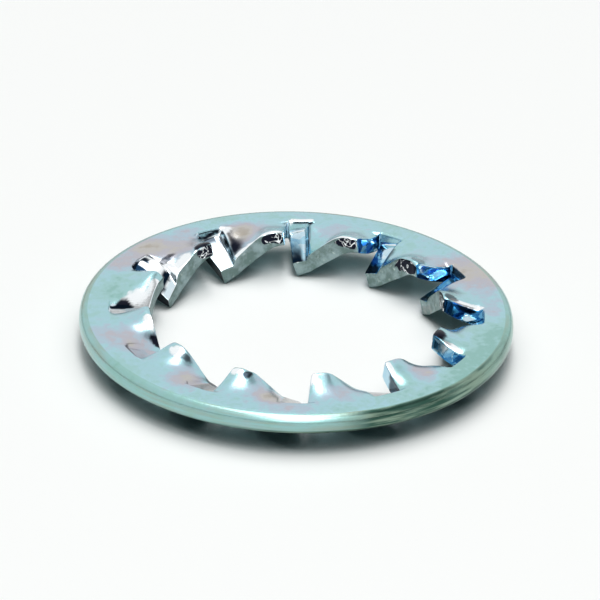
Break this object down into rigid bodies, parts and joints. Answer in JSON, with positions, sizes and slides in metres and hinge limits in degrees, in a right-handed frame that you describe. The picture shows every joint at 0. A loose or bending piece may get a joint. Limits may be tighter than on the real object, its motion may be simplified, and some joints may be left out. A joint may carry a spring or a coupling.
{
  "type": "internal-tooth serrated lock washer",
  "caption": "Flat round spring-steel washer whose inside edge is cut into narrow twisted teeth that bite both the nut and the surface under it to stop a nut or bolt working loose.",
  "frame": {"origin": "on the washer's axis, in the plane that its twelve low tooth corners stand on", "axes": "+Z along the washer's axis, towards the face that the raised tooth corners stand proud of; +X through the middle of one tooth"},
  "size_m": [0.0205, 0.0204, 0.0026],
  "materials": {
    "zinc_plate": "bright zinc plate with a clear blue passivate, satin on the stamped faces and mirror-bright where the teeth were pressed and sheared"
  },
  "bodies": {
    "root": {"lock_washer": "zinc_plate"}
  },
  "joints": []
}
